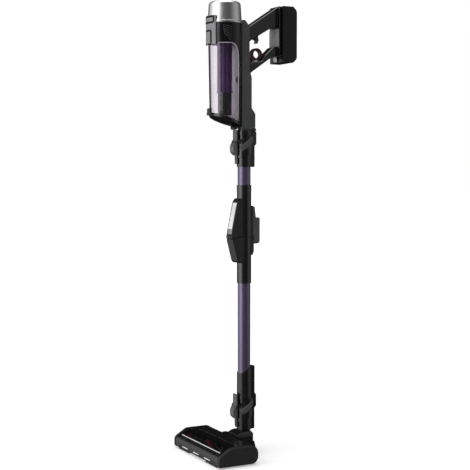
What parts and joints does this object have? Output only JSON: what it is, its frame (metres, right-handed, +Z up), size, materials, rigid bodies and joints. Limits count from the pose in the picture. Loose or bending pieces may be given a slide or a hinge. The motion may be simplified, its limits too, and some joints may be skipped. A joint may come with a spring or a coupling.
{
  "type": "cordless stick vacuum",
  "caption": "Upright cordless stick vacuum with a powered brush head, folding two-tube wand, clear dust cup and a loop handle with a clip-on battery.",
  "frame": {"origin": "on the floor under the wand's axis, at the middle of the part's box", "axes": "+Z up along the wand, -Y the way the head travels, +X the vacuum's left side"},
  "size_m": [0.25, 0.266, 1.097],
  "materials": {
    "black_plastic": "fine matt moulding",
    "gloss_black": "gloss moulding",
    "spine_grey": "satin dark grey moulding",
    "button_grey": "satin grey moulding",
    "pale_panel": "pale gloss moulding",
    "silver_cap": "bright metallised plastic",
    "tube_purple": "satin anodised, dark violet",
    "clear_cup": "clear plastic with a violet tint",
    "smoked_window": "smoked clear plastic",
    "light_lens": "clear diffusing lens",
    "cyclone_purple": "violet moulding",
    "trigger_red": "dark red moulding",
    "bristle_red": "dark red nylon strands",
    "felt": "black felt",
    "rubber": "soft black rubber",
    "filter_white": "pleated filter paper",
    "steel": "bright steel",
    "cell_green": "sleeved cells",
    "aluminium_motor": "turned aluminium can"
  },
  "bodies": {
    "floor_head": {"head_base": "black_plastic", "head_cover": "black_plastic", "head_window": "smoked_window", "end_cap_left": "black_plastic", "end_cap_right": "black_plastic", "light_bar": "light_lens", "glide_pads": "felt", "brush_motor": "steel", "drive_belt": "rubber", "inlet_duct": "black_plastic", "head_pins": "steel", "head_screws": "steel"},
    "brush": {"brush_core": "black_plastic", "brush_bristles": "bristle_red", "brush_pulley": "black_plastic"},
    "brush_drive": {"motor_pulley": "steel"},
    "wheel_left": {"wheel_left": "rubber"},
    "wheel_right": {"wheel_right": "rubber"},
    "neck": {"neck_barrel": "black_plastic"},
    "wand_lower": {"neck_connector": "black_plastic", "head_latch_pin": "steel", "wand_bottom_sleeve": "black_plastic", "lower_tube": "tube_purple", "flex_lower_housing": "black_plastic", "flex_pin": "steel", "flex_hose": "rubber"},
    "head_latch": {"head_latch": "button_grey"},
    "wand_upper": {"flex_upper_housing": "black_plastic", "flex_rear_cover": "black_plastic", "upper_tube": "tube_purple", "wand_connector": "black_plastic", "wand_latch_pin": "steel", "spine_duct": "spine_grey", "cup_cradle": "black_plastic", "motor_housing": "gloss_black", "front_panel": "button_grey", "pre_filter": "filter_white", "suction_motor": "aluminium_motor", "motor_mount": "rubber", "exhaust_filter": "filter_white", "dust_cup": "clear_cup", "inlet_seal": "rubber", "cyclone_shroud": "cyclone_purple", "cyclone_skirt": "black_plastic", "handle_frame": "black_plastic", "handle_panel": "button_grey", "trigger_pin": "steel", "lid_pin": "steel"},
    "flex_button": {"flex_button": "pale_panel"},
    "wand_latch": {"wand_latch": "button_grey"},
    "impeller": {"impeller": "black_plastic"},
    "exhaust_cap": {"exhaust_cap": "silver_cap"},
    "cup_release_button": {"cup_release_button": "button_grey"},
    "cup_lid": {"cup_lid": "black_plastic", "lid_seal": "rubber"},
    "lid_latch": {"lid_latch": "black_plastic"},
    "trigger": {"trigger": "trigger_red"},
    "battery": {"battery_case": "gloss_black", "battery_cells": "cell_green"},
    "battery_button": {"battery_button": "pale_panel"}
  },
  "joints": [
    {"name": "brush_spin", "type": "hinge", "parent": "floor_head", "child": "brush", "pos_m": [0, -0.0972, 0.0198], "axis": [1, 0, 0], "continuous": true},
    {"name": "brush_drive_spin", "type": "hinge", "parent": "floor_head", "child": "brush_drive", "pos_m": [0, -0.0522, 0.0238], "axis": [1, 0, 0], "continuous": true},
    {"name": "wheel_left_spin", "type": "hinge", "parent": "floor_head", "child": "wheel_left", "pos_m": [0, 0.003, 0.0105], "axis": [1, 0, 0], "continuous": true},
    {"name": "wheel_right_spin", "type": "hinge", "parent": "floor_head", "child": "wheel_right", "pos_m": [0, 0.003, 0.0105], "axis": [1, 0, 0], "continuous": true},
    {"name": "neck_tilt", "type": "hinge", "parent": "floor_head", "child": "neck", "pos_m": [0, -0.008, 0.027], "axis": [-1, 0, 0], "range_deg": [0, 75]},
    {"name": "neck_swivel", "type": "hinge", "parent": "neck", "child": "wand_lower", "pos_m": [0, 0, 0.0575], "axis": [0, 0, 1], "range_deg": [-60, 60]},
    {"name": "head_latch_press", "type": "hinge", "parent": "wand_lower", "child": "head_latch", "pos_m": [0, -0.0245, 0.1185], "axis": [1, 0, 0], "range_deg": [0, 3], "stiffness_Nm_per_rad": 0.6},
    {"name": "flex_fold", "type": "hinge", "parent": "wand_lower", "child": "wand_upper", "pos_m": [0, -0.036, 0.5325], "axis": [1, 0, 0], "range_deg": [0, 85], "deforming": ["flex_hose"]},
    {"name": "flex_button_press", "type": "slide", "parent": "wand_upper", "child": "flex_button", "axis": [0, 0.9767, -0.2146], "range_m": [0, 0.0025], "stiffness_N_per_m": 600},
    {"name": "wand_latch_press", "type": "hinge", "parent": "wand_upper", "child": "wand_latch", "pos_m": [0, -0.0245, 0.764], "axis": [1, 0, 0], "range_deg": [0, 3], "stiffness_Nm_per_rad": 0.6},
    {"name": "trigger_pull", "type": "hinge", "parent": "wand_upper", "child": "trigger", "pos_m": [0, 0.011, 0.9735], "axis": [1, 0, 0], "range_deg": [0, 8], "stiffness_Nm_per_rad": 0.3},
    {"name": "impeller_spin", "type": "hinge", "parent": "wand_upper", "child": "impeller", "pos_m": [0, -0.053, 1.0135], "axis": [0, 0, 1], "continuous": true},
    {"name": "cap_twist", "type": "hinge", "parent": "wand_upper", "child": "exhaust_cap", "pos_m": [0, -0.053, 1.0475], "axis": [0, 0, 1], "range_deg": [0, 40]},
    {"name": "cup_release_press", "type": "slide", "parent": "wand_upper", "child": "cup_release_button", "axis": [0, 1, 0], "range_m": [0, 0.0012], "stiffness_N_per_m": 800},
    {"name": "cup_lid_open", "type": "hinge", "parent": "wand_upper", "child": "cup_lid", "pos_m": [0, -0.028, 0.7975], "axis": [1, 0, 0], "range_deg": [0, 85]},
    {"name": "lid_latch_pull", "type": "hinge", "parent": "cup_lid", "child": "lid_latch", "pos_m": [0, -0.094, 0.83], "axis": [1, 0, 0], "range_deg": [0, 12], "stiffness_Nm_per_rad": 0.05},
    {"name": "battery_slide", "type": "slide", "parent": "wand_upper", "child": "battery", "axis": [0, 1, 0], "range_m": [0, 0.03]},
    {"name": "battery_button_press", "type": "slide", "parent": "battery", "child": "battery_button", "axis": [0, 1, 0], "range_m": [0, 0.0025], "stiffness_N_per_m": 500}
  ],
  "couplings": [
    {"joint": "brush_drive_spin", "follows": "brush_spin", "ratio": 1.8}
  ]
}
